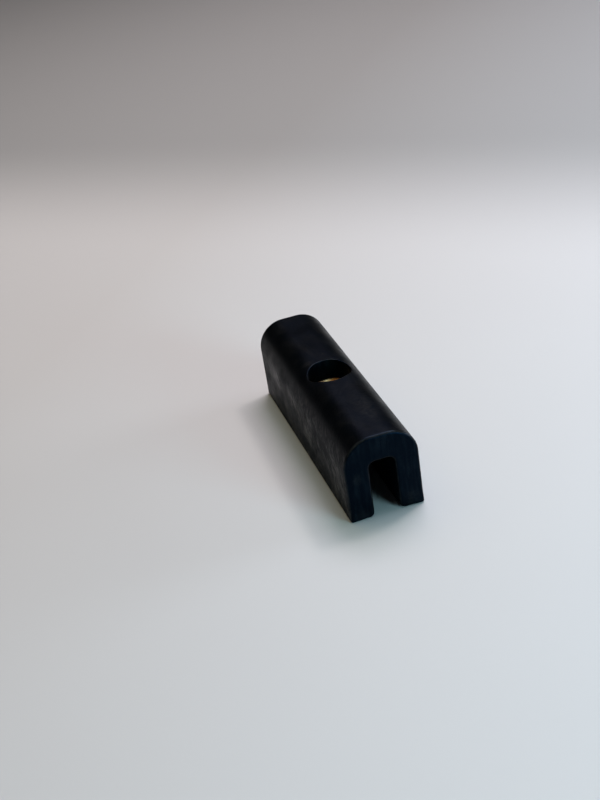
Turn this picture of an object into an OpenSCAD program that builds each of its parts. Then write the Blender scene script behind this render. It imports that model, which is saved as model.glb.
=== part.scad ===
// Slip-over rubber saddle damper: a moulded U-section block whose slot straddles a rail,
// with a brass bush moulded into its web and a brass screw that presses a pad on the rail.
// Millimetres. +X across the width, +Y along the length, +Z up from the feet.
// The origin is at the middle of the footprint, on the surface that the feet stand on.

/* [Rubber body] */
// Width across both legs
body_w = 20; // [18:0.5:26]
// Length along the slot
body_l = 76; // [50:1:120]
// Height from the feet to the top of the crown
body_h = 23.4; // [22:0.1:30]
// Radius of the two long shoulders of the crown
shoulder_r = 7.8; // [4:0.1:8.5]
// Radius on the outer long edge of each foot
foot_outer_r = 0.5; // [0.2:0.1:1]
// Radius on the inner long edge of each foot
foot_inner_r = 1.5; // [0.5:0.1:1.5]

/* [Slot] */
// Width of the slot between the legs
slot_w = 6.9; // [6:0.1:9]
// Height of the slot from the feet to its roof
slot_h = 16.1; // [14:0.1:18]
// Radius of the two long corners of the slot roof
slot_roof_r = 1.8; // [0.5:0.1:2.5]

/* [Crown bore] */
// Diameter of the driver hole in the crown
bore_d = 12; // [10:0.1:13]
// Height of the bush face above the slot roof
seat_rise = 1.4; // [0.8:0.1:1.8]

/* [Threaded bush] */
// Diameter of the bush flange, held under the rim of the bore
flange_d = 14; // [13.4:0.1:15]
// Thickness of the bush flange
flange_t = 2.8; // [2.4:0.1:3.4]
// Depth of the keying groove in the flange rim
groove_depth = 0.7; // [0.3:0.1:1]
// Width of the keying groove in the flange rim
groove_w = 0.8; // [0.4:0.1:1.2]
// Depth of the dish turned in the bush face
dish_depth = 1.4; // [0.6:0.1:1.4]
// Diameter of the dish's flat floor
dish_floor_d = 7.2; // [6:0.2:8]
// Length of the hub under the flange
hub_l = 2.5; // [1.5:0.1:3]

/* [Clamp screw] */
// Major diameter of the thread
thread_d = 4; // [3:0.5:4]
// Length of the threaded shank
screw_l = 6; // [5.5:0.1:7]
// Depth of the screw's end below the face of the bush
screw_recess = 0.5; // [0.2:0.1:0.8]
// Width of the screwdriver slot
driver_w = 0.7; // [0.5:0.1:0.9]
// Depth of the screwdriver slot
driver_depth = 1.2; // [0.6:0.1:1.6]

/* [Pressure pad] */
// Diameter of the pad
pad_d = 5.2; // [4:0.1:5.4]
// Thickness of the pad
pad_t = 1.6; // [1.5:0.1:2.2]

/* [Hidden] */
$fn = 96;
eps = 0.5;

// Clearances of the pieces that move
thread_clear = 0.05;
pin_clear = 0.1;
pad_gap = 0.05;
hub_clear = 0.1;

// The screw's swivel pin, which the pad is crimped over
pin_neck_r = 0.7;
pin_neck_l = 0.5;
pin_head_r = 1;
pin_head_t = 0.6;

// Chamfers
bush_chamfer = 0.4;
screw_chamfer = 0.3;
pad_chamfer = 0.25;

// Heights of the brass pieces, worked out from the slot roof
bush_top = slot_h + seat_rise;
flange_bottom = bush_top - flange_t;
dish_floor = bush_top - dish_depth;
hub_bottom = flange_bottom - hub_l;
screw_top = bush_top - screw_recess;
shank_end = screw_top - screw_l;
pad_top = shank_end - pad_gap;
pad_bottom = pad_top - pad_t;
neck_end = shank_end - pin_neck_l;
pin_end = neck_end - pin_head_t;

// Radii of the brass pieces
flange_r = flange_d / 2;
hub_r = slot_w / 2 - hub_clear;
bush_bore_r = thread_d / 2;
shank_r = bush_bore_r - thread_clear;
pad_r = pad_d / 2;

// The sliver between a square corner and the arc that rounds it.
// The corner is at the origin and the material lies towards +X and +Y.
module corner_waste(r) {
    difference() {
        translate([-eps, -eps])
            square(r + eps);
        translate([r, r])
            circle(r);
    }
}

// The same sliver at x, y, for a corner whose material lies towards sx and sy
module corner_waste_at(x, y, r, sx, sy) {
    translate([x, y])
        scale([sx, sy])
            corner_waste(r);
}

// Outline of the slot, open below the feet, with a rounded roof
module slot_outline() {
    difference() {
        translate([-slot_w / 2, -eps])
            square([slot_w, slot_h + eps]);
        for (side = [-1, 1])
            corner_waste_at(side * slot_w / 2, slot_h, slot_roof_r, -side, -1);
    }
}

// Cross-section of the rubber body
module body_outline() {
    difference() {
        translate([-body_w / 2, 0])
            square([body_w, body_h]);
        for (side = [-1, 1]) {
            corner_waste_at(side * body_w / 2, body_h, shoulder_r, -side, -1);
            corner_waste_at(side * body_w / 2, 0, foot_outer_r, -side, 1);
            corner_waste_at(side * slot_w / 2, 0, foot_inner_r, side, 1);
        }
        slot_outline();
    }
}

// Outside of the bush, which is also the cavity that it fills in the rubber
module bush_blank() {
    groove_mid = flange_bottom + flange_t / 2;
    rotate_extrude()
        polygon([
            [0, hub_bottom],
            [hub_r - bush_chamfer, hub_bottom],
            [hub_r, hub_bottom + bush_chamfer],
            [hub_r, flange_bottom],
            [flange_r, flange_bottom],
            [flange_r, groove_mid - groove_w / 2],
            [flange_r - groove_depth, groove_mid - groove_w / 2],
            [flange_r - groove_depth, groove_mid + groove_w / 2],
            [flange_r, groove_mid + groove_w / 2],
            [flange_r, bush_top],
            [0, bush_top]
        ]);
}

module rubber_body() {
    color("#1b1c20")
        difference() {
            rotate([90, 0, 0])
                linear_extrude(height = body_l, center = true)
                    body_outline();
            bush_blank();
            translate([0, 0, bush_top])
                cylinder(d = bore_d, h = body_h - bush_top + eps);
        }
}

// The bush, dished at the top from the wall of the crown bore down to a flat floor round the thread
module threaded_bush() {
    color("#b8914a")
        difference() {
            bush_blank();
            rotate_extrude()
                polygon([
                    [0, hub_bottom - eps],
                    [bush_bore_r + bush_chamfer, hub_bottom - eps],
                    [bush_bore_r + bush_chamfer, hub_bottom],
                    [bush_bore_r, hub_bottom + bush_chamfer],
                    [bush_bore_r, dish_floor - bush_chamfer],
                    [bush_bore_r + bush_chamfer, dish_floor],
                    [dish_floor_d / 2, dish_floor],
                    [bore_d / 2, bush_top],
                    [bore_d / 2, bush_top + eps],
                    [0, bush_top + eps]
                ]);
        }
}

module clamp_screw() {
    color("#c9a052")
        difference() {
            rotate_extrude()
                polygon([
                    [0, pin_end],
                    [pin_head_r, pin_end],
                    [pin_head_r, neck_end],
                    [pin_neck_r, neck_end],
                    [pin_neck_r, shank_end],
                    [shank_r - screw_chamfer, shank_end],
                    [shank_r, shank_end + screw_chamfer],
                    [shank_r, screw_top - screw_chamfer],
                    [shank_r - screw_chamfer, screw_top],
                    [0, screw_top]
                ]);
            translate([-driver_w / 2, -thread_d, screw_top - driver_depth])
                cube([driver_w, 2 * thread_d, driver_depth + eps]);
        }
}

module pressure_pad() {
    socket_bottom = pin_end - pin_clear;
    socket_top = neck_end + pin_clear;
    color("#ad8440")
        difference() {
            rotate_extrude()
                polygon([
                    [0, pad_bottom],
                    [pad_r - pad_chamfer, pad_bottom],
                    [pad_r, pad_bottom + pad_chamfer],
                    [pad_r, pad_top - pad_chamfer],
                    [pad_r - pad_chamfer, pad_top],
                    [0, pad_top]
                ]);
            translate([0, 0, socket_bottom])
                cylinder(r = pin_head_r + pin_clear, h = socket_top - socket_bottom);
            translate([0, 0, socket_top])
                cylinder(r = pin_neck_r + pin_clear, h = pad_top - socket_top + eps);
        }
}

rubber_body();
threaded_bush();
clamp_screw();
pressure_pad();
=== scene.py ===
import math

import bmesh
import bpy
from mathutils import Matrix, Vector, noise


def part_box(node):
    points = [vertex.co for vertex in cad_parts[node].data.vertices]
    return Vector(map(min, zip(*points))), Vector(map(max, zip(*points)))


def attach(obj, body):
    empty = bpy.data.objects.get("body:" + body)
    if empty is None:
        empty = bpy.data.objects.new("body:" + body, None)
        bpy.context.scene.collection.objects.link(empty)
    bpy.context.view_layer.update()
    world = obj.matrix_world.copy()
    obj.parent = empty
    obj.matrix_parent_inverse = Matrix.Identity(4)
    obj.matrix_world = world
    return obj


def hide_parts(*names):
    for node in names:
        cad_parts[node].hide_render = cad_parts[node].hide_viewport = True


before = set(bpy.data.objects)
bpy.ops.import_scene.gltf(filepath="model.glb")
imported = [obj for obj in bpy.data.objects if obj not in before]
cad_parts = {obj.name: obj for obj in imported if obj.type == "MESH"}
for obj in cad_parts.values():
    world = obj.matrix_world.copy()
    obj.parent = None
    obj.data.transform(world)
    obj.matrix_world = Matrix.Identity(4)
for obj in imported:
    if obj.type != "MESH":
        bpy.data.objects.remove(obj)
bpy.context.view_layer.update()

MM = 0.001
TAU = 2 * math.pi

# ---------------------------------------------------------------- dimensions
BODY_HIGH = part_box("rubber_body")[1]
BUSH_LOW, BUSH_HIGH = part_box("threaded_bush")
SCREW_LOW, SCREW_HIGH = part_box("clamp_screw")
PAD_LOW, PAD_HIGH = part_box("pressure_pad")

HALF_W = BODY_HIGH.x
HALF_L = BODY_HIGH.y
CROWN_Z = BODY_HIGH.z
SHOULDER_R = 7.8 * MM       # rounding between the crown and each flank
FOOT_OUTER_R = 0.5 * MM     # rounding of a foot's outer edge
FOOT_INNER_R = 1.5 * MM     # and of its edge at the slot
SLOT_HALF_W = 3.45 * MM
SLOT_ROOF_Z = 16.1 * MM
SLOT_ROOF_R = 1.8 * MM
END_R = 0.75 * MM           # rounding of the moulding's end faces
END_R_FOOT = 0.4 * MM       # and of their corners at the feet
BORE_R = 6 * MM
LIP_R = 0.18 * MM           # rolled edge of the crown bore
BORE_OVERRUN = 0.8 * MM     # how far the bore's wall runs on below the bush's face, into its cavity

FLANGE_R = BUSH_HIGH.x
FLANGE_T = 2.8 * MM
GROOVE_DEPTH = 0.7 * MM
GROOVE_W = 0.8 * MM
HUB_R = SLOT_HALF_W - 0.1 * MM
HUB_CHAMFER = 0.4 * MM
DISH_FLOOR_R = 3.6 * MM     # the bush's face slopes down from the bore's wall to this radius
DISH_DEPTH = 1.4 * MM
DISH_EASE = 0.05            # how far the dish's slope is eased at its rim and floor
SHANK_R = SCREW_HIGH.x
THREAD_CLEAR = 0.05 * MM
THREAD_CHAMFER = 0.4 * MM   # of the screw's ends, and of the countersinks in the bush
PITCH = 0.7 * MM
THREAD_DEPTH = 0.5413 * PITCH
CREST_HALF = 1 / 16         # half the flat crest of an ISO thread, in pitches
THREAD_SLOPE = 5 / 16       # and the width of each sloping side
THREAD_ROWS = 16            # rows of vertices in each pitch
DRIVER_SLOT_HALF_W = 0.35 * MM
DRIVER_SLOT_DEPTH = 1.2 * MM
PIN_HEAD_R = 1 * MM
PIN_HEAD_T = 0.6 * MM
PIN_NECK_R = 0.7 * MM
PIN_NECK_L = 0.5 * MM
PIN_NECK_LOW = SCREW_LOW.z + PIN_HEAD_T
PIN_CLEAR = 0.1 * MM
CAP_R = 0.3 * MM            # the small cap in the middle of a turned piece's flat face

SHARP_ANGLE = math.radians(35)
DOUBLES = 1e-7              # vertices closer than this are one


# ---------------------------------------------------------------- mesh helpers
def make_object(name, verts, faces):
    """A smooth-shaded mesh object, with edges kept sharp where faces meet at over SHARP_ANGLE."""
    mesh = bpy.data.meshes.new(name)
    mesh.from_pydata([tuple(v) for v in verts], [], faces)
    mesh.update()
    obj = bpy.data.objects.new(name, mesh)
    bpy.context.scene.collection.objects.link(obj)
    tidy_mesh(obj)
    return obj


def tidy_mesh(obj):
    """Merges doubles, turns every normal outwards and sets the shading."""
    bm = bmesh.new()
    bm.from_mesh(obj.data)
    bmesh.ops.remove_doubles(bm, verts=bm.verts, dist=DOUBLES)
    bmesh.ops.dissolve_degenerate(bm, edges=bm.edges, dist=DOUBLES)
    bmesh.ops.recalc_face_normals(bm, faces=bm.faces)
    bm.to_mesh(obj.data)
    bm.free()
    obj.data.shade_smooth()
    obj.data.set_sharp_from_angle(angle=SHARP_ANGLE)


def flatten_flats(obj):
    """Lets the large faces set the normals, so that flats stay flat up to their rounded edges."""
    mod = obj.modifiers.new("flats", "WEIGHTED_NORMAL")
    mod.keep_sharp = True
    mod.weight = 100


def arc(cx, cz, r, start_deg, end_deg, count):
    """Points on an arc from start to end, both included."""
    points = []
    for i in range(count + 1):
        a = math.radians(start_deg + (end_deg - start_deg) * i / count)
        points.append((cx + r * math.cos(a), cz + r * math.sin(a)))
    return points


def line(a, b, count):
    """Points on a straight stretch, without its ends."""
    return [
        (a[0] + (b[0] - a[0]) * i / count, a[1] + (b[1] - a[1]) * i / count)
        for i in range(1, count)
    ]


def join_path(*parts):
    """One list of points, without repeats."""
    path = []
    for part in parts:
        for p in part:
            if not path or math.dist(path[-1], p) > 1e-9:
                path.append(p)
    return path


def ring_faces(a, b, count):
    """Quads between two closed rings of vertices that start at a and b."""
    return [(a + i, a + (i + 1) % count, b + (i + 1) % count, b + i) for i in range(count)]


def circle_ring(r, z, sides):
    """Points evenly round a circle about Z."""
    return [(r * math.cos(TAU * i / sides), r * math.sin(TAU * i / sides), z) for i in range(sides)]


def skin_rings(rings, closed_ends):
    """Vertices and faces through a list of rings. The last ring joins the first unless the ends close."""
    sides = len(rings[0])
    verts = [v for ring in rings for v in ring]
    last = (len(rings) - 1) * sides
    faces = []
    for start in range(0, last, sides):
        faces += ring_faces(start, start + sides, sides)
    if closed_ends:
        faces.append(tuple(range(sides))[::-1])
        faces.append(tuple(range(last, last + sides)))
    else:
        faces += ring_faces(last, 0, sides)
    return verts, faces


def lathe(profile, sides):
    """Vertices and faces of a profile of (radius, height) turned about Z. The ends are closed."""
    return skin_rings([circle_ring(r, z, sides) for r, z in profile], closed_ends=True)


def box_mesh(low, high):
    """Vertices and faces of an upright box between two corners."""
    base = [(low.x, low.y), (high.x, low.y), (high.x, high.y), (low.x, high.y)]
    verts = [(x, y, z) for z in (low.z, high.z) for x, y in base]
    faces = [(0, 3, 2, 1), (4, 5, 6, 7), (0, 1, 5, 4), (1, 2, 6, 5), (2, 3, 7, 6), (3, 0, 4, 7)]
    return verts, faces


def cut(obj, cutter):
    """Takes cutter's volume out of obj, and removes cutter."""
    mod = obj.modifiers.new("cut", "BOOLEAN")
    mod.operation = "DIFFERENCE"
    mod.solver = "EXACT"
    mod.object = cutter
    graph = bpy.context.evaluated_depsgraph_get()
    mesh = bpy.data.meshes.new_from_object(obj.evaluated_get(graph))
    obj.modifiers.clear()
    obj.data = mesh
    bpy.data.objects.remove(cutter)
    tidy_mesh(obj)


# ---------------------------------------------------------------- rubber body
# The patch of crown round the bore is its own set of rings. It reaches this far across and along.
PATCH_S = 9.6 * MM
PATCH_Y = 9.0 * MM
PATCH_STEPS_S = 32
PATCH_STEPS_Y = 32
PATCH_RINGS = 10
PATCH_CROWDING = 1.4        # above 1, the rings crowd together towards the bore
LIP_STEPS = 6
BORE_WALL_STEPS = 10
SINK = 0.05 * MM            # how far the old rubber has sunk in from its mould's shape
SINK_FADE = 2 * MM          # the height above a foot's rounding over which the sinking comes in
CORNER_REACH = 4 * MM       # how far round a foot's outer corner its end rounding is smaller
WAVE_ACROSS, WAVE_ALONG = 90, 45            # waves of the sunken skin, per metre
RIPPLE_ACROSS, RIPPLE_ALONG = 300, 220      # and its finer ripples


def crown_point(s):
    """Point and outward normal on the crown at arc length s from its middle."""
    flat = HALF_W - SHOULDER_R
    side = 1 if s >= 0 else -1
    t = abs(s)
    if t <= flat:
        return (side * t, CROWN_Z), (0.0, 1.0)
    a = (t - flat) / SHOULDER_R
    n = (side * math.sin(a), math.cos(a))
    return (side * flat + SHOULDER_R * n[0], CROWN_Z - SHOULDER_R + SHOULDER_R * n[1]), n


def sink(x, y, z):
    """How far the skin lies under its mould's shape, from slow waves in the rubber."""
    wave = noise.noise(Vector((x * WAVE_ACROSS, y * WAVE_ALONG, z * WAVE_ACROSS)))
    ripple = noise.noise(Vector((x * RIPPLE_ACROSS + 7, y * RIPPLE_ALONG, z * RIPPLE_ACROSS)))
    return SINK * (0.5 + 0.35 * wave + 0.15 * ripple)


def skin_share(x, z):
    """How much of the sinking a point of the cross-section gets: all of it on the outer skin above
    the feet, and none inside the slot."""
    if abs(x) < SLOT_HALF_W + FOOT_INNER_R and z < SLOT_ROOF_Z + 0.1 * MM:
        return 0.0
    return min(max((z - FOOT_OUTER_R) / SINK_FADE, 0.0), 1.0)


def end_share(x, z):
    """How much of the end rounding's inset a point of the cross-section gets. It shrinks to the foot's
    share at the feet's small outer corners, so that the inset outline doesn't cross itself."""
    near_corner = 1 - min(math.dist((abs(x), z), (HALF_W, 0)) / CORNER_REACH, 1.0)
    return 1 + (END_R_FOOT / END_R - 1) * min(2 * near_corner, 1.0)


def sunk(x, y, z, nx, nz, share=1.0):
    """A point of the outer skin, moved inwards along its normal."""
    d = sink(x, y, z) * share
    return (x - nx * d, y, z - nz * d)


def half_outline():
    """The right half of the cross-section's points, from the middle of the slot's roof round to the
    crown's patch."""
    roof_z = SLOT_ROOF_Z
    wall_x = SLOT_HALF_W
    points = join_path(
        [(0, roof_z)],
        line((0, roof_z), (wall_x - SLOT_ROOF_R, roof_z), 3),
        arc(wall_x - SLOT_ROOF_R, roof_z - SLOT_ROOF_R, SLOT_ROOF_R, 90, 0, 8),
        line((wall_x, roof_z - SLOT_ROOF_R), (wall_x, FOOT_INNER_R), 16),
        arc(wall_x + FOOT_INNER_R, FOOT_INNER_R, FOOT_INNER_R, 180, 270, 8),
        line((wall_x + FOOT_INNER_R, 0), (HALF_W - FOOT_OUTER_R, 0), 6),
        arc(HALF_W - FOOT_OUTER_R, FOOT_OUTER_R, FOOT_OUTER_R, -90, 0, 6),
        line((HALF_W, FOOT_OUTER_R), (HALF_W, CROWN_Z - SHOULDER_R), 20),
    )
    s_end = HALF_W - SHOULDER_R + SHOULDER_R * math.pi / 2
    shoulder_steps = 8
    for i in range(shoulder_steps):
        s = s_end + (PATCH_S - s_end) * i / shoulder_steps
        points.append(crown_point(s)[0])
    return points


def outline_normals(points):
    """Outward normals of a closed loop of points that runs with the material on its left."""
    count = len(points)
    normals = []
    for i in range(count):
        ax, az = points[i - 1]
        bx, bz = points[(i + 1) % count]
        dx, dz = bx - ax, bz - az
        length = math.hypot(dx, dz)
        normals.append((dz / length, -dx / length))
    return normals


def crown_height(x):
    """Height of the crown's surface at x."""
    over = max(abs(x) - (HALF_W - SHOULDER_R), 0.0)
    return CROWN_Z - SHOULDER_R + math.sqrt(SHOULDER_R ** 2 - over ** 2)


def crown_arc(x):
    """Arc length across the crown from its middle to x, with the sign of x."""
    flat = HALF_W - SHOULDER_R
    over = max(abs(x) - flat, 0.0)
    return math.copysign(min(abs(x), flat) + SHOULDER_R * math.asin(over / SHOULDER_R), x)


def lip_curve(angle):
    """The rolled edge where the bore meets the crown, at one angle round the bore: the points from the
    bore's wall up to the crown, and the arc length across the crown and the y at which it ends."""
    cos_a, sin_a = math.cos(angle), math.sin(angle)
    centre = BORE_R + LIP_R
    touch = centre
    step = 1e-6
    # The roll touches the crown where their slopes agree: a few rounds settle its radius from the axis
    for _ in range(12):
        rise = crown_height((touch + step) * cos_a) - crown_height((touch - step) * cos_a)
        slope = rise / (2 * step)
        root = math.hypot(1, slope)
        touch = centre - LIP_R * slope / root
    centre_z = crown_height(touch * cos_a) - LIP_R / root
    end = math.atan2(1 / root, -slope / root)
    points = []
    for i in range(LIP_STEPS + 1):
        a = math.pi + (end - math.pi) * i / LIP_STEPS
        r = centre + LIP_R * math.cos(a)
        points.append((r * cos_a, r * sin_a, centre_z + LIP_R * math.sin(a)))
    return points, crown_arc(touch * cos_a), touch * sin_a


def row_positions():
    """Places of the rows of vertices along Y, as (y, inset) pairs. The inset rounds the end faces."""
    end_steps = 5
    ends = []
    for i in range(end_steps + 1):
        a = math.pi / 2 * i / end_steps
        ends.append((HALF_L - END_R + END_R * math.cos(a), END_R * (1 - math.sin(a))))
    plain_steps = 26
    start = HALF_L - END_R
    plain = [(start + (PATCH_Y - start) * i / plain_steps, 0.0) for i in range(1, plain_steps)]
    patch = [(PATCH_Y - 2 * PATCH_Y * i / PATCH_STEPS_Y, 0.0) for i in range(PATCH_STEPS_Y + 1)]
    upper = ends + plain
    return upper + patch + [(-y, inset) for y, inset in reversed(upper)]


def cross_section():
    """The whole cross-section as a closed loop of points, and where in it the crown's patch starts."""
    right = half_outline()
    steps = range(PATCH_STEPS_S + 1)
    patch = [crown_point(PATCH_S - 2 * PATCH_S * i / PATCH_STEPS_S)[0] for i in steps]
    left = [(-x, z) for x, z in reversed(right[1:])]
    return right + patch + left, len(right)


def skin_vertices(loop, rows):
    """The cross-section's vertices on every row, sunken, and drawn in at the end faces."""
    normals = outline_normals(loop)
    verts = []
    for y, inset in rows:
        for (x, z), (nx, nz) in zip(loop, normals):
            depth = inset * end_share(x, z) + sink(x, y, z) * skin_share(x, z)
            verts.append((x - nx * depth, y, z - nz * depth))
    return verts


def skin_faces(count, row_count, patch_columns, patch_rows):
    """Quads between the rows, with the crown's patch left open, and the two end faces."""
    faces = []
    for j in range(row_count - 1):
        for i in range(count):
            if i in patch_columns and j in patch_rows:
                continue
            a, b = j * count + i, j * count + (i + 1) % count
            faces.append((a, b, b + count, a + count))
    faces.append(tuple(range(count))[::-1])
    faces.append(tuple(range((row_count - 1) * count, row_count * count)))
    return faces


def patch_edge(columns, rows):
    """The patch's edge as (column, row) pairs, once round from its corner with the highest x and y."""
    first, last = columns.start, columns.stop
    top, bottom = rows.start, rows.stop
    edge = [(first, j) for j in range(top, bottom)]
    edge += [(i, bottom) for i in range(first, last)]
    edge += [(last, j) for j in range(bottom, top, -1)]
    edge += [(i, top) for i in range(last, first, -1)]
    return edge


def patch_rings(rim):
    """Rings of points on the crown, from inside the patch's edge to the bore's rolled edge. rim has
    the arc length, y and lip_curve of each point of the patch's edge."""
    rings = []
    for k in range(1, PATCH_RINGS + 1):
        t = (1 - k / PATCH_RINGS) ** PATCH_CROWDING
        ring = []
        for s, y, (_, lip_s, lip_y) in rim:
            (x, z), (nx, nz) = crown_point(lip_s + (s - lip_s) * t)
            ring.append(sunk(x, lip_y + (y - lip_y) * t, z, nx, nz))
        rings.append(ring)
    return rings


def lip_rings(rim):
    """Rings of points down the rolled edge. The sinking fades out on the way."""
    rings = []
    for k in range(LIP_STEPS - 1, -1, -1):
        ring = []
        for _, _, (points, lip_s, _) in rim:
            _, (nx, nz) = crown_point(lip_s)
            ring.append(sunk(*points[k], nx, nz, share=k / LIP_STEPS))
        rings.append(ring)
    return rings


def wall_rings(rim):
    """Rings of points down the bore's wall."""
    low = BUSH_HIGH.z - BORE_OVERRUN
    rings = []
    for k in range(1, BORE_WALL_STEPS + 1):
        ring = []
        for _, _, (points, _, _) in rim:
            x, y, z = points[0]
            ring.append((x, y, z + (low - z) * k / BORE_WALL_STEPS))
        rings.append(ring)
    return rings


def rubber_mesh():
    """Vertices and faces of the moulding, with its bore and without the bush's cavity."""
    loop, first = cross_section()
    rows = row_positions()
    count = len(loop)
    top = next(j for j, row in enumerate(rows) if abs(row[0] - PATCH_Y) < 1e-9)
    columns = range(first, first + PATCH_STEPS_S)
    patch_rows = range(top, top + PATCH_STEPS_Y)
    verts = skin_vertices(loop, rows)
    faces = skin_faces(count, len(rows), columns, patch_rows)

    edge = patch_edge(columns, patch_rows)
    rim = []
    for i, j in edge:
        s = PATCH_S - 2 * PATCH_S * (i - first) / PATCH_STEPS_S
        y = rows[j][0]
        rim.append((s, y, lip_curve(math.atan2(y, s))))
    outer = [j * count + i for i, j in edge]
    for ring in patch_rings(rim) + lip_rings(rim) + wall_rings(rim):
        inner = list(range(len(verts), len(verts) + len(ring)))
        verts += ring
        for i in range(len(ring)):
            n = (i + 1) % len(ring)
            faces.append((outer[i], outer[n], inner[n], inner[i]))
        outer = inner
    faces.append(tuple(outer))
    return verts, faces


def bush_profile(top):
    """The bush's outside, from its lowest point up, as (radius, height) pairs."""
    flange_low = BUSH_HIGH.z - FLANGE_T
    groove_mid = flange_low + FLANGE_T / 2
    return [
        (HUB_R - HUB_CHAMFER, BUSH_LOW.z),
        (HUB_R, BUSH_LOW.z + HUB_CHAMFER),
        (HUB_R, flange_low),
        (FLANGE_R, flange_low),
        (FLANGE_R, groove_mid - GROOVE_W / 2),
        (FLANGE_R - GROOVE_DEPTH, groove_mid - GROOVE_W / 2),
        (FLANGE_R - GROOVE_DEPTH, groove_mid + GROOVE_W / 2),
        (FLANGE_R, groove_mid + GROOVE_W / 2),
        (FLANGE_R, top),
    ]


def build_rubber_body():
    """The moulding, with the space that the bush fills cut out of it."""
    body = make_object("rubber_saddle", *rubber_mesh())
    cavity = make_object("cavity", *lathe(bush_profile(BUSH_HIGH.z), 128))
    cut(body, cavity)
    return body


# ---------------------------------------------------------------- brass pieces
def thread_radius(angle, z, major):
    """Radius of a right-hand ISO thread's surface at one angle and height."""
    turns = z / PITCH - angle / TAU
    from_crest = abs(turns - math.floor(turns) - 0.5)
    share = min(max((from_crest - CREST_HALF) / THREAD_SLOPE, 0.0), 1.0)
    return major - THREAD_DEPTH * share


def thread_rings(low, high, major, limit, sides):
    """Rings of vertices on a thread from low to high. limit(z, r) trims the radius at its ends."""
    rows = max(2, round((high - low) / PITCH * THREAD_ROWS))
    rings = []
    for k in range(rows + 1):
        z = low + (high - low) * k / rows
        ring = []
        for i in range(sides):
            a = TAU * i / sides
            r = limit(z, thread_radius(a, z, major))
            ring.append((r * math.cos(a), r * math.sin(a), z))
        rings.append(ring)
    return rings


def dish_profile(high):
    """The dish in the bush's face, from its rim at the bore's wall in to its flat floor."""
    steps = 8
    profile = []
    for i in range(steps + 1):
        t = i / steps
        ease = t - DISH_EASE * math.sin(TAU * t)
        profile.append((BORE_R + (DISH_FLOOR_R - BORE_R) * t, high - DISH_DEPTH * ease))
    return profile


def build_bush():
    """Flanged bush with a real internal thread, countersunk at both ends."""
    low, high = BUSH_LOW.z, BUSH_HIGH.z
    sides = 96
    edge = 0.12 * MM
    dish_floor = high - DISH_DEPTH
    bore = SHANK_R + THREAD_CLEAR
    mouth = bore + THREAD_CHAMFER

    def countersink(z, r):
        return max(r, mouth - (dish_floor - z), mouth - (z - low))

    profile = bush_profile(high - edge)
    profile.append((FLANGE_R - edge, high))
    profile += dish_profile(high)
    profile.append(((DISH_FLOOR_R + mouth) / 2, dish_floor))
    rings = [circle_ring(r, z, sides) for r, z in profile]
    rings += thread_rings(low, dish_floor, bore, countersink, sides)[::-1]
    return make_object("brass_bush", *skin_rings(rings, closed_ends=False))


def build_screw():
    """Slotted grub screw with a real thread and the swivel pin under it."""
    low, high = SCREW_LOW.z, SCREW_HIGH.z
    sides = 80
    edge = 0.1 * MM
    shank_low = PIN_NECK_LOW + PIN_NECK_L
    end_r = SHANK_R - THREAD_CHAMFER

    def chamfer(z, r):
        return min(r, end_r + (high - z), end_r + (z - shank_low))

    pin = [
        (CAP_R, low),
        (PIN_HEAD_R - edge, low),
        (PIN_HEAD_R, low + edge),
        (PIN_HEAD_R, PIN_NECK_LOW - edge),
        (PIN_HEAD_R - edge, PIN_NECK_LOW),
        (PIN_NECK_R, PIN_NECK_LOW),
        (PIN_NECK_R, shank_low),
    ]
    rings = [circle_ring(r, z, sides) for r, z in pin]
    rings += thread_rings(shank_low, high, SHANK_R, chamfer, sides)
    rings.append(circle_ring(end_r * 0.5, high, sides))
    screw = make_object("brass_clamp_screw", *skin_rings(rings, closed_ends=True))
    slot_low = Vector((-DRIVER_SLOT_HALF_W, -2 * SHANK_R, high - DRIVER_SLOT_DEPTH))
    slot_high = Vector((DRIVER_SLOT_HALF_W, 2 * SHANK_R, high + DRIVER_SLOT_DEPTH))
    cut(screw, make_object("driver_slot", *box_mesh(slot_low, slot_high)))
    return screw


def build_pad():
    """Pressure pad, crimped over the screw's pin."""
    low, high, r = PAD_LOW.z, PAD_HIGH.z, PAD_HIGH.x
    edge = 0.25 * MM
    corner_steps = 4
    mouth_chamfer = 0.15 * MM
    mouth_r = PIN_NECK_R + PIN_CLEAR
    socket_r = PIN_HEAD_R + PIN_CLEAR
    socket_low = SCREW_LOW.z - PIN_CLEAR
    socket_high = PIN_NECK_LOW + PIN_CLEAR
    outside = [(CAP_R, low)]
    outside += arc(r - edge, low + edge, edge, -90, 0, corner_steps)
    outside += arc(r - edge, high - edge, edge, 0, 90, corner_steps)
    inside = [
        (mouth_r + mouth_chamfer, high),
        (mouth_r, high - mouth_chamfer),
        (mouth_r, socket_high),
        (socket_r, socket_high),
        (socket_r, socket_low),
        (CAP_R, socket_low),
    ]
    return make_object("brass_pressure_pad", *lathe(outside + inside, 72))


# ---------------------------------------------------------------- materials
STROKE_TURN = 0.85          # radians about X from upright to the lie of the strokes on the flanks
NEAR_START = 22 * MM        # the y at which the flanks' near half starts
NEAR_FULL = -10 * MM        # and the y from which its strokes are full
SMEAR_STRENGTH = 0.16
GRAIN_DEPTH = 0.04 * MM
PIT_DEPTH = 0.06 * MM
SCRAPE_DEPTH = 0.10 * MM
ROUGH_LOW, ROUGH_HIGH = 0.32, 0.43
FLANK_ROUGHER = 0.27        # what a flank adds to the roughness
RUB_SMOOTHER = 0.28         # and what full rubbing takes off it
SLOT_ROUGH = 0.80
RUBBER_SPECULAR = 0.10

# Frequencies of the rubber's patterns across, along and up, per metre
HAZE = (110, 90, 150)
MOTTLE = (420, 420, 260)
STROKES = (900, 1700, 190)
SMEARS = (150, 80, 150)
FLOW = (1300, 1300, 150)

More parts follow.
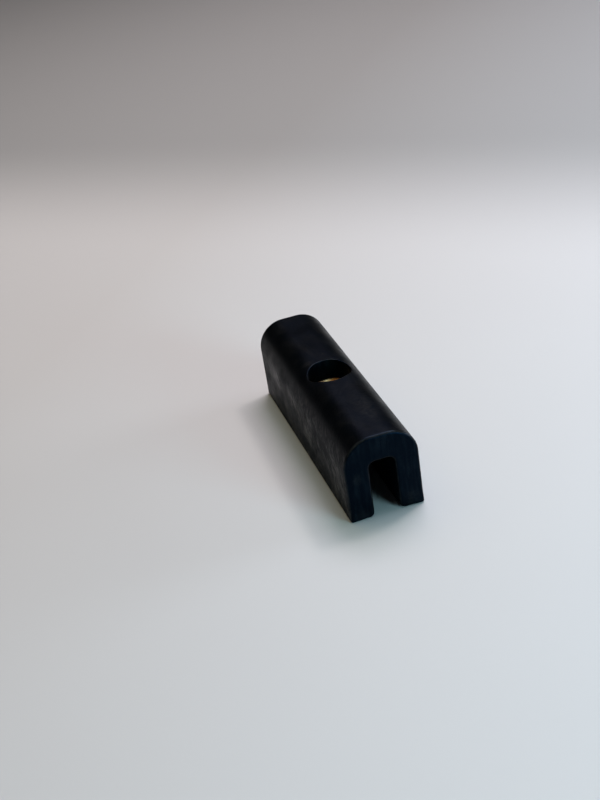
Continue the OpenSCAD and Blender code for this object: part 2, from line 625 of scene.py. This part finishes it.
RUBBER_DEEP = (0.0001, 0.0002, 0.0004, 1)
RUBBER_BLACK = (0.0006, 0.0009, 0.0014, 1)
RUBBER_BLOOM = (0.0045, 0.0068, 0.0085, 1)
# Pale dust colour, also used for the painted highlight on the rolled edges and the painted sheen on the
# crown
RUBBER_DUST_AND_HIGHLIGHT = (0.030, 0.029, 0.027, 1)
RUBBER_TINT = (0.05, 0.36, 0.85, 1)

TOOL_MARKS = 9000.0         # noise frequency of the brass's tool marks away from its axis, per metre
TOOL_SLANT = 0.6            # and how much of that it has along the axis
TOOL_MARK_DEPTH = 0.03 * MM
TARNISH_ROUGHER = 0.25
# The bush's dark colour serves both its tarnish and the painted shade on its dish
BUSH_BRASS, BUSH_TARNISH_AND_SHADE = (0.88, 0.70, 0.38, 1), (0.26, 0.09, 0.02, 1)
SCREW_BRASS, SCREW_TARNISH = (0.82, 0.62, 0.30, 1), (0.45, 0.28, 0.12, 1)
PAD_BRASS, PAD_TARNISH = (0.70, 0.50, 0.23, 1), (0.34, 0.20, 0.09, 1)
# Painted shade on the right of the bush's dish, brown and duller like its tarnish: centre and half-size in
# millimetres
BUSH_PAINTED_SHADES = [((3.0, 4.6, 17), (5.0, 4.0, 2))]


class Nodes:
    """Short names for building a material's node tree."""

    def __init__(self, name):
        self.material = bpy.data.materials.new(name)
        self.material.use_nodes = True
        self.tree = self.material.node_tree
        self.tree.nodes.clear()
        self.shader = self.tree.nodes.new("ShaderNodeBsdfPrincipled")
        out = self.tree.nodes.new("ShaderNodeOutputMaterial")
        self.tree.links.new(self.shader.outputs[0], out.inputs["Surface"])
        self.coords = self.tree.nodes.new("ShaderNodeTexCoord").outputs["Object"]

    def add(self, kind, inputs=None, **settings):
        """A new node, with its inputs linked or set and its settings made."""
        node = self.tree.nodes.new(kind)
        for key, value in settings.items():
            setattr(node, key, value)
        for key, value in (inputs or {}).items():
            self.put(node.inputs[key], value)
        return node

    def put(self, socket, value):
        """Links an input socket to another node's output, or sets it to a plain value."""
        if isinstance(value, bpy.types.NodeSocket):
            self.tree.links.new(value, socket)
        else:
            socket.default_value = value

    def set(self, **values):
        """Puts values on the shader. An underscore stands for a space in a socket's name."""
        for key, value in values.items():
            self.put(self.shader.inputs[key.replace("_", " ")], value)

    def mapped(self, scale, turn=0.0):
        """Object coordinates turned about X and then scaled."""
        turned = self.add("ShaderNodeMapping", {"Vector": self.coords, "Rotation": (turn, 0, 0)})
        scaled = self.add("ShaderNodeMapping", {"Vector": turned.outputs["Vector"], "Scale": scale})
        return scaled.outputs["Vector"]

    def noise(self, vector, scale, detail, roughness, distortion=0.0):
        """Fractal noise, round about 0.5."""
        inputs = {
            "Vector": vector,
            "Scale": scale,
            "Detail": detail,
            "Roughness": roughness,
            "Distortion": distortion,
        }
        return self.add("ShaderNodeTexNoise", inputs).outputs["Fac"]

    def spread(self, value, low, high, to_low=0.0, to_high=1.0):
        """A value, stretched so that low to high becomes to_low to to_high, and clamped."""
        inputs = {
            "Value": value,
            "From Min": low,
            "From Max": high,
            "To Min": to_low,
            "To Max": to_high,
        }
        return self.add("ShaderNodeMapRange", inputs, clamp=True).outputs["Result"]

    def smooth(self, value, low, high):
        """A smooth step from 0 at low to 1 at high. low may be the larger of the two."""
        inputs = {"Value": value, "From Min": low, "From Max": high}
        step = self.add("ShaderNodeMapRange", inputs, interpolation_type="SMOOTHSTEP")
        return step.outputs["Result"]

    def along(self, way):
        """Distance from the origin along a unit vector, in metres."""
        inputs = {0: self.coords, 1: way}
        return self.add("ShaderNodeVectorMath", inputs, operation="DOT_PRODUCT").outputs["Value"]

    def blob(self, centre, size):
        """A soft spot: 1 round its centre and 0 beyond its half-size, both in millimetres."""
        scale = [1 / (MM * side) for side in size]
        inputs = {
            "Vector": self.coords,
            "Location": [-c * MM * k for c, k in zip(centre, scale)],
            "Scale": scale,
        }
        local = self.add("ShaderNodeMapping", inputs).outputs["Vector"]
        return self.smooth(self.length(local), 1.0, 0.2)

    def length(self, vector):
        """A vector's length."""
        return self.add("ShaderNodeVectorMath", {0: vector}, operation="LENGTH").outputs["Value"]

    def off_axis(self, place):
        """Distance from the Z axis. place has the three coordinates."""
        flat = self.add("ShaderNodeCombineXYZ", {0: place[0], 1: place[1], 2: 0.0})
        return self.length(flat.outputs[0])

    def split(self, vector):
        """A vector's three coordinates."""
        return self.add("ShaderNodeSeparateXYZ", {0: vector}).outputs

    def times(self, a, b):
        """a times b."""
        return self.math("MULTIPLY", a, b)

    def plus(self, a, b):
        """a plus b."""
        return self.math("ADD", a, b)

    def math(self, operation, a, b=0.0):
        """One of the Math node's operations on a, or on a and b."""
        return self.add("ShaderNodeMath", {0: a, 1: b}, operation=operation).outputs[0]

    def mix_colour(self, fac, a, b, blend="MIX"):
        """Colour a where fac is 0 and b where it is 1. Sockets 6, 7 and 2 are the Mix node's for colour."""
        node = self.add("ShaderNodeMix", data_type="RGBA", blend_type=blend)
        self.put(node.inputs["Factor"], fac)
        self.put(node.inputs[6], a)
        self.put(node.inputs[7], b)
        return node.outputs[2]

    def mix_value(self, fac, a, b):
        """Value a where fac is 0 and b where it is 1. Sockets 2, 3 and 0 are the Mix node's for a float."""
        node = self.add("ShaderNodeMix", {0: fac, 2: a, 3: b}, data_type="FLOAT")
        return node.outputs[0]

    def bump(self, height, strength, distance, below=None):
        """A bumped normal, on top of the one below it."""
        inputs = {"Height": height, "Strength": strength, "Distance": distance}
        if below is not None:
            inputs["Normal"] = below
        return self.add("ShaderNodeBump", inputs).outputs["Normal"]


# Marks of use on the rubber, one also a painted sheen on the crown: centre and half-size in millimetres,
# and strength. Below zero is less rubbed.
RUB_MARKS = [
    ((-10, 25, 13), (3, 11, 6), 0.75),          # flank: pale haze near the far end
    ((-10, 6, 13.5), (3, 9, 3.5), 0.65),        # flank: strokes under the shoulder
    ((-10, -6, 9), (3, 5, 6), 0.55),            # flank: strokes across its middle
    ((-10, -5, 4), (3, 10, 4), -0.70),          # flank: dark patch along the foot
    ((-10, -21, 13.5), (3, 6, 3.5), -0.80),     # flank: dark patch under the shoulder
    ((-10, -19, 4), (3, 8, 5), -0.60),          # flank: dark low patch
    ((-10, -31, 9), (3, 7, 7), 0.60),           # flank: dusty near end
    ((-4.0, 7.0, 23), (2.8, 1.6, 2), 0.30),     # crown: smudge beside the bore
    ((1.6, 9.8, 23.4), (0.5, 0.5, 1), 0.50),    # crown: speck of grit
    ((2.0, -24, 23.4), (4, 12, 2), 0.30),       # crown: greasy finger mark, whose paler colour is also painted sheen
    ((-7, -38, 12.5), (1.6, 1, 2.4), 0.22),     # near end: thumb mark on the left leg
    ((6.8, -38, 2.5), (3, 1, 3.5), 0.22),       # near end: scuffed right foot
    ((-6.5, -38, 1.5), (3, 1, 2.5), 0.18),      # near end: scuffed left foot
]


def painted_edge_highlight(n, place):
    """1 on the rolled edges of the bore and of the two ends, greyed there as painted highlight and handling
    wear.
    """
    bore = n.smooth(n.off_axis(place), BORE_R + 2 * LIP_R, BORE_R + LIP_R)
    on_top = n.smooth(place[2], CROWN_Z - 2 * LIP_R, CROWN_Z - 0.5 * LIP_R)
    along = n.math("ABSOLUTE", place[1])
    started = n.smooth(along, HALF_L - END_R, HALF_L - 0.6 * END_R)
    over = n.smooth(along, HALF_L - 0.04 * END_R, HALF_L - 0.3 * END_R)
    return n.math("MAXIMUM", n.times(bore, on_top), n.times(started, over))


def painted_slot_shade(n, place):
    """1 on the skin inside the slot, where nothing rubs the rubber smooth: kept black there as painted
    shade in the slot.
    """
    across = n.math("ABSOLUTE", place[0])
    beside = n.smooth(across, SLOT_HALF_W + FOOT_INNER_R, SLOT_HALF_W + 0.2 * MM)
    below = n.smooth(place[2], SLOT_ROOF_Z + 0.4 * MM, SLOT_ROOF_Z + 0.1 * MM)
    inward = n.smooth(n.math("ABSOLUTE", place[1]), HALF_L, HALF_L - END_R)
    return n.times(n.times(beside, below), inward)


def flank_rub(n, near_half, mottle, strokes):
    """How rubbed the flanks are: soft and wide, and in short strokes on their near half."""
    haze = n.spread(n.noise(n.mapped(HAZE), 1.0, 6, 0.65, 0.15), 0.36, 0.66)
    patches = n.times(n.spread(mottle, 0.42, 0.60), n.spread(strokes, 0.40, 0.60, 0.1, 1.3))
    far = n.times(haze, 0.6)
    near = n.plus(n.times(haze, 0.2), n.times(patches, 0.7))
    return n.mix_value(near_half, far, near)


def crown_smears(n, up, mottle):
    """How rubbed the crown is, where handling has left it cloudy. up is the normal's Z."""
    crown = n.smooth(up, 0.70, 0.95)
    smears = n.spread(n.noise(n.mapped(SMEARS), 1.0, 5, 0.6, 1.2), 0.46, 0.64)
    smears = n.times(smears, n.spread(mottle, 0.30, 0.60, 0.5, 1.0))
    return n.times(n.times(smears, crown), SMEAR_STRENGTH)


def rub_marks(n, rubbed, mottle, strokes):
    """Adds the marks of use, and the painted sheen among them, to how rubbed the skin is."""
    grainy = n.spread(n.times(mottle, strokes), 0.16, 0.34, 0.1, 1.0)
    for centre, size, strength in RUB_MARKS:
        mark = n.times(n.blob(centre, size), grainy)
        rubbed = n.plus(rubbed, n.times(mark, strength))
    return rubbed


def end_bloom(n, forward, cloud):
    """Upright streaks of bloom on the end faces, which the mould's flow left. forward is the normal's Y."""
    flow = n.noise(n.mapped(FLOW), 1.0, 5, 0.6, 0.6)
    bloom = n.times(n.spread(flow, 0.42, 0.66), n.spread(cloud, 0.40, 0.62, 0.2, 1.0))
    return n.times(bloom, n.smooth(n.math("ABSOLUTE", forward), 0.80, 0.99))


def rubber_relief(n, near_half, strokes):
    """The rubber's grain, its pits and the strokes scraped into it, as a normal."""
    grain = n.noise(n.coords, 5200, 3, 0.6)
    pits = n.spread(n.noise(n.coords, 1500, 2, 0.5), 0.30, 0.42)
    scrapes = n.times(strokes, n.spread(near_half, 0, 1, 0.3, 1.0))
    low = n.bump(grain, 0.10, GRAIN_DEPTH)
    mid = n.bump(pits, 0.10, PIT_DEPTH, low)
    return n.bump(scrapes, 0.35, SCRAPE_DEPTH, mid)


def rubber_material():
    """Black moulded rubber. Where it is rubbed it is paler, and shines at a low angle. Rolled edges get a
    painted highlight in that pale colour; the slot gets painted shade.
    """
    n = Nodes("moulded_rubber")
    axes = n.split(n.add("ShaderNodeTexCoord").outputs["Normal"])
    place = n.split(n.coords)
    flank = n.spread(n.math("ABSOLUTE", axes[0]), 0.80, 0.99)
    near_half = n.smooth(place[1], NEAR_START, NEAR_FULL)
    cloud = n.noise(n.coords, 140, 5, 0.6)
    mottle = n.noise(n.mapped(MOTTLE), 1.0, 6, 0.68, 0.8)
    strokes = n.noise(n.mapped(STROKES, STROKE_TURN), 1.0, 4, 0.62, 0.3)

    rubbed = n.times(flank_rub(n, near_half, mottle, strokes), flank)
    rubbed = n.plus(rubbed, crown_smears(n, axes[2], mottle))
    rubbed = rub_marks(n, rubbed, mottle, strokes)
    # Painted highlight along the rolled edges, in the dust's pale colour and smoother
    edge_highlight = n.times(painted_edge_highlight(n, place), n.spread(mottle, 0.38, 0.60, 0.1, 0.6))
    # inside is the slot's painted shade: no pale dust or painted highlight there, and matt
    inside = painted_slot_shade(n, place)
    rubbed = n.times(n.math("MAXIMUM", rubbed, edge_highlight), n.math("SUBTRACT", 1.0, inside))
    rubbed = n.add("ShaderNodeClamp", {0: rubbed}).outputs[0]

    black = n.mix_colour(cloud, RUBBER_DEEP, RUBBER_BLACK)
    black = n.mix_colour(end_bloom(n, axes[1], cloud), black, RUBBER_BLOOM)
    rough = n.spread(cloud, 0.35, 0.65, ROUGH_LOW, ROUGH_HIGH)
    rough = n.plus(rough, n.times(flank, FLANK_ROUGHER))
    rough = n.math("SUBTRACT", rough, n.times(rubbed, RUB_SMOOTHER))
    n.set(
        Base_Color=n.mix_colour(rubbed, black, RUBBER_DUST_AND_HIGHLIGHT),
        Roughness=n.mix_value(inside, rough, SLOT_ROUGH),
        Normal=rubber_relief(n, near_half, strokes),
        Specular_IOR_Level=RUBBER_SPECULAR,
        Specular_Tint=RUBBER_TINT,
    )
    return n.material


def brass_material(name, colour, dark, roughness, painted_shades=()):
    """Turned brass with fine tool marks round its axis, and tarnish that is darker and duller. Spots given
    last paint shade in its colour.
    """
    n = Nodes(name)
    place = n.split(n.coords)
    along = n.plus(n.off_axis(place), n.times(place[2], TOOL_SLANT))
    tracks = n.add("ShaderNodeCombineXYZ", {0: n.times(along, TOOL_MARKS)}).outputs[0]
    marks = n.noise(tracks, 1.0, 2, 0.5)
    tarnish = n.spread(n.noise(n.coords, 700, 5, 0.65, 0.4), 0.42, 0.74)
    # Each spot given last is painted shade, in the tarnish's colour and roughness
    for centre, size in painted_shades:
        tarnish = n.math("MAXIMUM", tarnish, n.blob(centre, size))
    n.set(
        Base_Color=n.mix_colour(tarnish, colour, dark),
        Metallic=1.0,
        Roughness=n.spread(tarnish, 0, 1, roughness, roughness + TARNISH_ROUGHER),
        Normal=n.bump(marks, 0.25, TOOL_MARK_DEPTH),
    )
    return n.material


# ---------------------------------------------------------------- stage, lights and camera
CAMERA_AZIMUTH = -12.79     # degrees from the -Y direction, towards +X
CAMERA_ELEVATION = 29.69
CAMERA_ROLL = -9.51
CAMERA_DISTANCE = 0.3375
CAMERA_AIM = Vector((-0.00845, 0.00366, 0.01468))
CAMERA_LENS = 55.2          # millimetres, on a sensor 36 wide
CAMERA_SENSOR = 36
CAMERA_NEAR = 0.01          # nothing nearer than this is seen

FLOOR_HALF = 3.0
SHADE_AZIMUTH = 38.3        # the way in which the paper falls into shade, from +Y towards +X
SHADE_START = 0.12          # how far from the object its shade begins
SHADE_END = 0.255           # and is full
SIDE_LIGHT_REACH = 0.12           # how far to each side the paper's painted light and shade change
# Painted light and shade across the paper: darker and warmer on the left, lighter and cooler on the right
PAPER_LEFT = (0.556, 0.540, 0.512, 1)
PAPER_RIGHT = (0.720, 0.755, 0.765, 1)
PAPER_SHADE = (0.56, 0.57, 0.57, 1)
PAPER_MOTTLE = (0.5, 0.5, 0.5, 1)
FIBRE_DEPTH = 0.1 * MM

WORLD_COLOUR = (0.9, 0.95, 1.0, 1)
WORLD_STRENGTH = 0.02
PANEL_DISTANCE = 0.9
# Soft panels: name, azimuth from -Y towards +X and elevation in degrees, diameter, power in watts, colour
PANELS = [
    ("window_back_right", 135, 60, 0.50, 4.25, (0.97, 0.89, 1.0)),
    ("window_right", 90, 60, 0.50, 0.45, (1.0, 0.60, 0.73)),
    ("window_right_low", 90, 12, 0.36, 2.9, (0.78, 0.88, 1.0)),
    ("wall_front_right_low", 30, 12, 0.36, 4.2, (0.50, 0.85, 1.0)),
    ("wall_front_right", 30, 35, 0.42, 0.6, (0.50, 0.92, 0.95)),
    ("lamp_right", 113, 57, 0.12, 1.10, (1.0, 0.93, 0.86)),
    ("ceiling", 0, 88, 0.50, 1.25, (0.68, 0.95, 1.0)),
    ("wall_back", 167, 50, 0.32, 0.75, (1.0, 0.84, 0.92)),
    ("wall_back_left", 225, 60, 0.80, 1.15, (1.0, 0.76, 0.42)),
]


def direction(azimuth, elevation):
    """Unit vector away from the object, with the azimuth in degrees from -Y towards +X."""
    az, el = math.radians(azimuth), math.radians(elevation)
    return Vector((math.sin(az) * math.cos(el), -math.cos(az) * math.cos(el), math.sin(el)))


def floor_material():
    """Pale paper with painted light and shade: a little darker and warmer on its left, and in shade well
    behind the object.
    """
    n = Nodes("paper")
    az = math.radians(SHADE_AZIMUTH)
    back = n.along((math.sin(az), math.cos(az), 0))
    right = n.along((math.cos(az), -math.sin(az), 0))
    paper = n.mix_colour(n.spread(right, -SIDE_LIGHT_REACH, SIDE_LIGHT_REACH), PAPER_LEFT, PAPER_RIGHT)
    fibre = n.noise(n.coords, 900, 5, 0.6)
    cloud = n.noise(n.coords, 14, 3, 0.5)
    mottle = n.plus(n.times(fibre, 0.25), n.times(cloud, 0.75))
    paper = n.mix_colour(n.spread(mottle, 0.3, 0.7, 0.0, 0.05), paper, PAPER_MOTTLE)
    dusk = n.smooth(back, SHADE_START, SHADE_END)
    n.set(
        Base_Color=n.mix_colour(dusk, paper, PAPER_SHADE, blend="MULTIPLY"),
        Roughness=0.75,
        Normal=n.bump(fibre, 0.05, FIBRE_DEPTH),
    )
    return n.material


def build_floor():
    """A square of paper that fills the photograph's view."""
    corners = [(-1, -1), (1, -1), (1, 1), (-1, 1)]
    verts = [(x * FLOOR_HALF, y * FLOOR_HALF, 0) for x, y in corners]
    floor = make_object("paper_floor", verts, [(0, 1, 2, 3)])
    floor.data.materials.append(floor_material())


def build_lights():
    """The soft panels, all aimed at the middle of the object, and a faint sky."""
    for name, azimuth, elevation, size, power, colour in PANELS:
        away = direction(azimuth, elevation)
        lamp = bpy.data.lights.new(name, "AREA")
        lamp.shape = "DISK"
        lamp.size = size
        lamp.energy = power
        lamp.color = colour
        obj = bpy.data.objects.new(name, lamp)
        obj.location = Vector((0, 0, CROWN_Z / 2)) + away * PANEL_DISTANCE
        obj.rotation_euler = (-away).to_track_quat("-Z", "Y").to_euler()
        bpy.context.scene.collection.objects.link(obj)
    world = bpy.data.worlds.new("studio")
    world.use_nodes = True
    sky = world.node_tree.nodes["Background"]
    sky.inputs["Color"].default_value = WORLD_COLOUR
    sky.inputs["Strength"].default_value = WORLD_STRENGTH
    bpy.context.scene.world = world


def build_camera():
    """The photograph's camera: above and before the near end, and rolled a little."""
    back = direction(CAMERA_AZIMUTH, CAMERA_ELEVATION)
    roll = Matrix.Rotation(math.radians(CAMERA_ROLL), 3, "Z")
    turn = (-back).to_track_quat("-Z", "Y").to_matrix() @ roll
    data = bpy.data.cameras.new("camera")
    data.lens = CAMERA_LENS
    data.sensor_width = CAMERA_SENSOR
    data.clip_start = CAMERA_NEAR
    camera = bpy.data.objects.new("camera", data)
    camera.matrix_world = Matrix.Translation(CAMERA_AIM + back * CAMERA_DISTANCE) @ turn.to_4x4()
    bpy.context.scene.collection.objects.link(camera)
    bpy.context.scene.camera = camera


# ---------------------------------------------------------------- assembly
def dress(piece, node, body, material):
    """Stands a piece in for its CAD node, on that node's body."""
    flatten_flats(piece)
    piece.data.materials.clear()
    piece.data.materials.append(material)
    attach(piece, body)
    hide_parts(node)


build_camera()
build_floor()
build_lights()

bush_brass = brass_material("bush_brass", BUSH_BRASS, BUSH_TARNISH_AND_SHADE, 0.18, BUSH_PAINTED_SHADES)
screw_brass = brass_material("screw_brass", SCREW_BRASS, SCREW_TARNISH, 0.24)
pad_brass = brass_material("pad_brass", PAD_BRASS, PAD_TARNISH, 0.34)
dress(build_rubber_body(), "rubber_body", "saddle", rubber_material())
dress(build_bush(), "threaded_bush", "saddle", bush_brass)
dress(build_screw(), "clamp_screw", "screw", screw_brass)
dress(build_pad(), "pressure_pad", "pad", pad_brass)
bpy.context.scene.view_settings.view_transform = "Standard"
